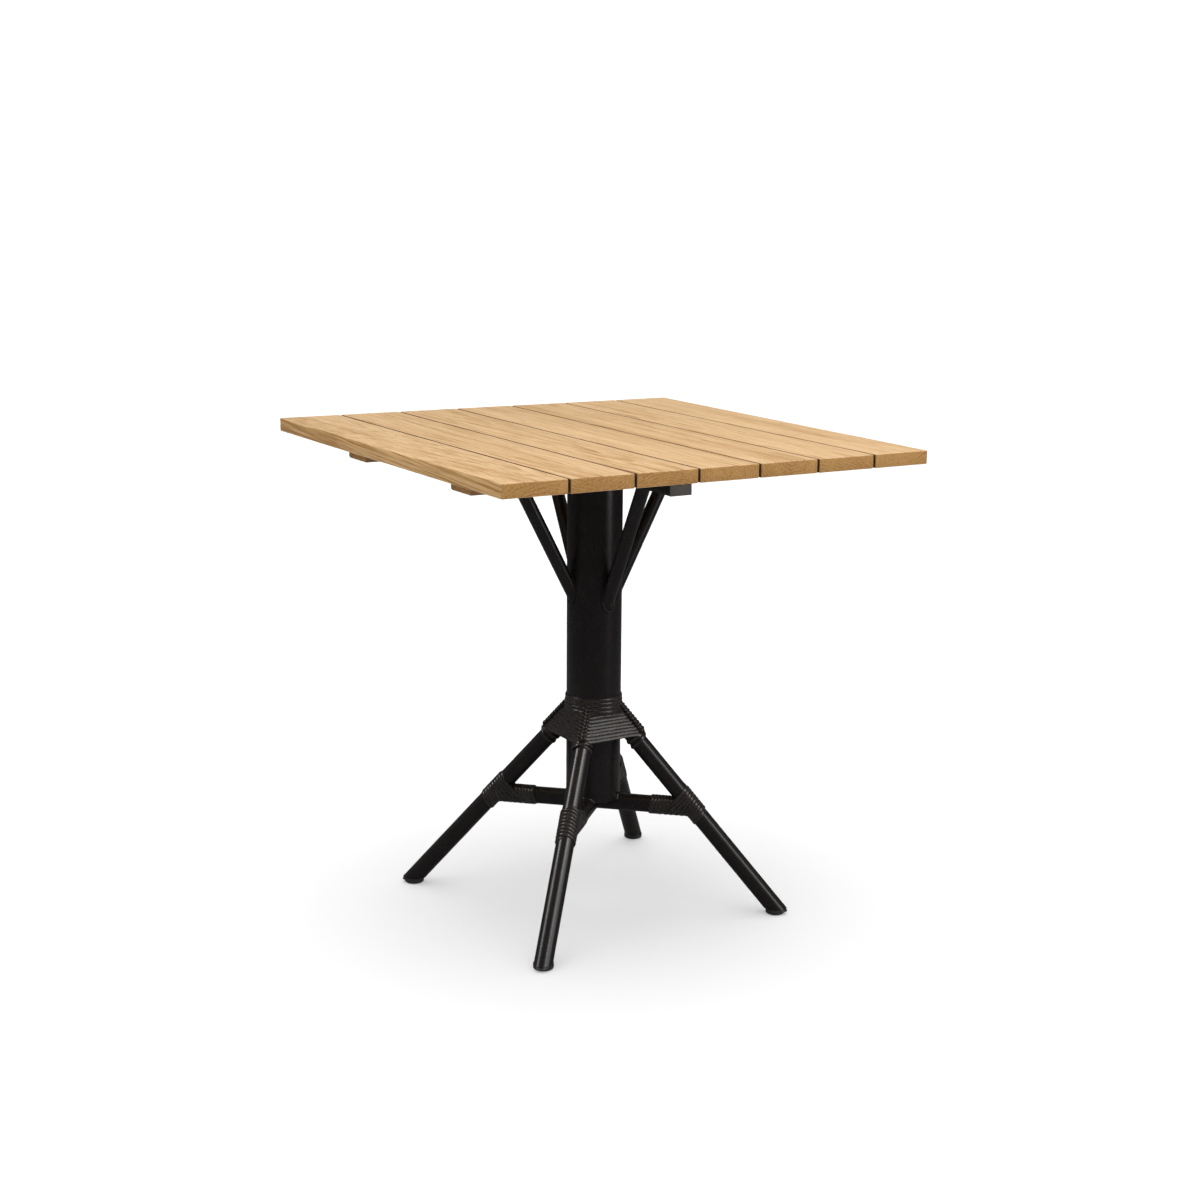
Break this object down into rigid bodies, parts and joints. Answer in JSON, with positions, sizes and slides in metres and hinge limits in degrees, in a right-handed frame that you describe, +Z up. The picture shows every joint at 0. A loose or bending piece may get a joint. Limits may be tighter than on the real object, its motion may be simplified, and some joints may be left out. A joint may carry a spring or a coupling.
{
  "type": "bistro table",
  "caption": "Square bistro table with a slatted wooden top on a round metal column, braced struts and four splayed legs with strand lashings.",
  "frame": {"origin": "on the floor under the middle of the column", "axes": "+Z up; the slats run along Y and lie side by side along X; the legs lie on the diagonals between X and Y"},
  "size_m": [0.7, 0.7, 0.735],
  "materials": {
    "wood": "sanded teak, untreated",
    "metal": "satin brown-black powder coat on aluminium",
    "strand": "dark synthetic rattan strand",
    "plastic": "black moulded plastic",
    "screw": "stainless steel"
  },
  "bodies": {
    "root": {"bar_across_slats": "metal", "bar_along_slats": "metal", "bar_cap_back": "plastic", "bar_cap_front": "plastic", "bar_cap_left": "plastic", "bar_cap_right": "plastic", "batten_back": "wood", "batten_front": "wood", "collar_lashing": "strand", "column_cap": "metal", "column_tube": "metal", "glide_back_left": "plastic", "glide_back_right": "plastic", "glide_front_left": "plastic", "glide_front_right": "plastic", "joint_lashing_back_left": "strand", "joint_lashing_back_right": "strand", "joint_lashing_front_left": "strand", "joint_lashing_front_right": "strand", "leg_back_left": "metal", "leg_back_right": "metal", "leg_front_left": "metal", "leg_front_right": "metal", "lower_bar_screw_1": "screw", "lower_bar_screw_2": "screw", "skirt_lashing": "strand", "slat_1": "wood", "slat_2": "wood", "slat_3": "wood", "slat_4": "wood", "slat_5": "wood", "slat_6": "wood", "slat_7": "wood", "slat_screw_1": "screw", "slat_screw_10": "screw", "slat_screw_11": "screw", "slat_screw_12": "screw", "slat_screw_13": "screw", "slat_screw_14": "screw", "slat_screw_2": "screw", "slat_screw_3": "screw", "slat_screw_4": "screw", "slat_screw_5": "screw", "slat_screw_6": "screw", "slat_screw_7": "screw", "slat_screw_8": "screw", "slat_screw_9": "screw", "stretcher_back_right": "metal", "stretcher_front_left": "metal", "stretcher_long": "metal", "strut_back": "metal", "strut_front": "metal", "strut_left": "metal", "strut_right": "metal", "upper_bar_screw_1": "screw", "upper_bar_screw_2": "screw"}
  },
  "joints": []
}
